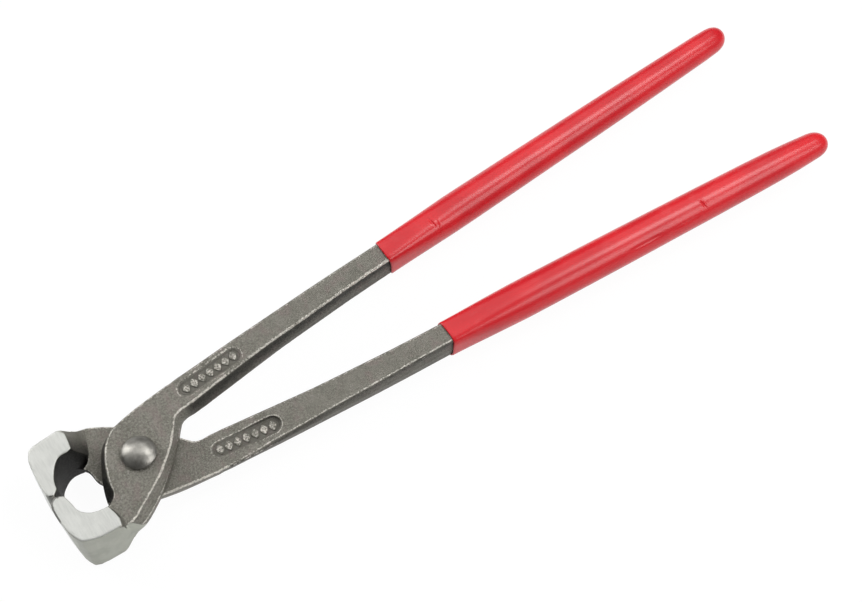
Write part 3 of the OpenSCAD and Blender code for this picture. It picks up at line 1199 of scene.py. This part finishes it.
def red_vinyl():
    finish = Finish("red_vinyl")
    ripple = finish.noise(finish.place((0.5, 1, 1)), 8.0, 0.0)
    smudge = finish.noise(finish.place((0.6, 1, 1)), 4.0, 2.0)
    colour = finish.mix(ripple.between(0.3, 0.7), *REDS)
    colour = finish.mix(smudge.between(0.55, 0.75) * 0.04, colour, SMUDGED)
    rough = 0.36 + (smudge - 0.5) * 0.12
    skin = finish.bump(ripple, 0.04, 0.5)
    return finish.shade(
        Base_Color=colour, Roughness=rough, Normal=skin, Coat_Weight=0.4,
        Coat_Roughness=0.24, Specular_IOR_Level=0.22
    )


vinyl = red_vinyl()
print("vinyl nodes", len(vinyl.node_tree.nodes))

# %% [markdown]
# ## The second forging
#
# The lower half is the upper one's mesh after half a turn about X through the rivet. No
# two forgings are quite alike, though: this one's throat is fuller, its hollow is cut
# deeper, and its jaw is ground back a little on the outside, each by about a millimetre.
# Soft pushes on the points do this, as Blender's proportional editing would by hand.

# %% Turn a copy over and push it into its own shape
# Middle, spread and push in X and Y, and the share of it at the jaw's two end faces,
# the mating side's first.
PUSHES = [
    ((-18.2, -9.2), (3, 1.6), (-0.9, 0), (1, 1)),
    ((-16, -1.8), (3, 3.2), (-0.72, 0.1), (1, 1)),
    ((-28.5, -7), (3, 4), (-0.9, 0), (0, 1)),
    ((-18.8, -13.2), (2.8, 2), (0.8, 1.1), (0, 1)),
    ((-27, -21.5), (10, 4), (0.3, 0.75), (1, 0)),
]


def turned_copy(piece, name):
    """The same mesh after half a turn about X, with its own throat and hollow."""
    mesh = piece.data.copy()
    for point in mesh.vertices:
        spot = point.co / MM - hinge
        end = (spot.z + jaw_z) / (2 * jaw_z)
        for middle, spread, push, (low, high) in PUSHES:
            off = [(spot[i] - middle[i]) / spread[i] for i in range(2)]
            share = math.exp(-off[0] ** 2 - off[1] ** 2) * (low + (high - low) * end)
            point.co += Vector((*push, 0)) * share * MM
    mesh.transform(Matrix.Rotation(math.pi, 4, "X"))
    return new_object(name, mesh)


rear_forging = turned_copy(forging, "rear_forging")
print("second forging", len(rear_forging.data.vertices), "points")

# %% [markdown]
# ## Dressing the frame
#
# Each piece takes the place of its CAD node, rides on that node's body and takes its
# material.

# %% Put each piece on its body


def dress(piece, node, body, material):
    piece.data.materials.clear()
    piece.data.materials.append(material)
    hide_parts(node)
    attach(piece, body)


dress(forging, "front_half", "front", steel)
dress(rear_forging, "rear_half", "rear", steel)
dress(rivet, "rivet", "rear", rivet_finish)
dress(front_sleeve, "front_grip", "front", vinyl)
dress(rear_sleeve, "rear_grip", "rear", vinyl)

# %% [markdown]
# ## Floor, light and camera
#
# The tool lies on a plain white floor. A lit floor alone would turn grey towards its
# edges, so it glows white for whatever looks at it and still takes soft shadows. One
# soft box stands low at the left, two hang higher at the right and in front, a large one
# fills from above, and the world gives a little grey. The camera stands where the
# photograph was taken from, found by fitting a lens to points of the two alike halves.

# %% Lay the floor
WHITE = (1.0, 1.0, 1.0)
LIT_GREY = (0.82, 0.82, 0.82)
GLOW = 1.02
GLOW_SHARE = 0.94
FLOOR_GAP = 0.05
FLOOR_REACH = 3000


def white_floor():
    finish = Finish("white_floor")
    rays = finish.add("ShaderNodeLightPath", output="Is Camera Ray")
    glossy = finish.add("ShaderNodeLightPath", output="Is Glossy Ray")
    through = finish.add("ShaderNodeLightPath", output="Is Transmission Ray")
    seen = (rays + glossy + through).clamped()
    lit = finish.add("ShaderNodeBsdfDiffuse", None, {"Color": LIT_GREY})
    glow = finish.add("ShaderNodeEmission", None, {"Color": WHITE, "Strength": GLOW})
    sockets = {0: seen * GLOW_SHARE, 1: lit, 2: glow}
    return finish.close(finish.add("ShaderNodeMixShader", None, sockets))


floor_z = cad_low.z / MM - FLOOR_GAP
corners = [(i * FLOOR_REACH, j * FLOOR_REACH, floor_z)
           for i, j in ((-1, -1), (1, -1), (1, 1), (-1, 1))]
floor = closed_mesh("floor", corners, [[0, 1, 2, 3]])
floor.data.materials.append(white_floor())
print("floor at", floor_z)

# %% Hang the lights
LAMP_TARGET = Vector((0.12, 0, 0))
# Name, azimuth and height in degrees, distance and sides in millimetres, and power.
SOFT_BOXES = [
    ("left_box", 120, 22, 1100, (420, 760), 5.6),
    ("right_box", -8, 56, 1100, (380, 380), 4),
    ("front_box", -54, 36, 1100, (620, 440), 4.6),
    ("top_box", 72, 62, 1700, (2100, 2100), 19),
]
SKY = 0.11


def soft_box(name, azimuth, height, distance, size, power):
    """A flat lamp that looks at a spot on the arms."""
    lamp = bpy.data.lights.new(name, "AREA")
    lamp.shape = "RECTANGLE"
    lamp.size, lamp.size_y = size[0] * MM, size[1] * MM
    lamp.energy = power
    a, e = math.radians(azimuth), math.radians(height)
    aim = Vector((math.cos(a) * math.cos(e), math.sin(a) * math.cos(e), math.sin(e)))
    lamp_object = new_object(name, lamp)
    lamp_object.location = LAMP_TARGET + aim * distance * MM
    lamp_object.rotation_euler = aim.to_track_quat("Z", "Y").to_euler()


for box in SOFT_BOXES:
    soft_box(*box)
world = bpy.data.worlds.new("studio")
bpy.context.scene.world = world
world.use_nodes = True
sky = world.node_tree.nodes["Background"]
sky.inputs["Color"].default_value = (*WHITE, 1)
sky.inputs["Strength"].default_value = SKY
print("lamps", [box[0] for box in SOFT_BOXES])

# %% Set the camera
IMAGE_W = 862
FOCAL_PX = 1515.0
SENSOR_MM = 36.0
NEAR_CLIP = 0.01
VIEW_AZIMUTH = 0.62186
VIEW_TILT = 0.5006
VIEW_ROLL = 0.02295
RIVET_SEEN = Vector((-103.98, 57.23, 544.82))
turn = (Matrix.Rotation(VIEW_ROLL, 3, "Z") @ Matrix.Rotation(math.pi - VIEW_TILT, 3, "X")
        @ Matrix.Rotation(VIEW_AZIMUTH, 3, "Z"))
stand = (turn.transposed() @ -RIVET_SEEN + hinge) * MM
looks = turn.transposed() @ Matrix.Diagonal((1, -1, -1))
lens = bpy.data.cameras.new("camera")
lens.sensor_width = SENSOR_MM
lens.lens = FOCAL_PX / IMAGE_W * SENSOR_MM
lens.clip_start = NEAR_CLIP
camera = new_object("camera", lens)
camera.matrix_world = Matrix.Translation(stand) @ looks.to_4x4()
bpy.context.scene.camera = camera
bpy.context.scene.view_settings.view_transform = "Standard"
print("camera at", stand, "lens", lens.lens)
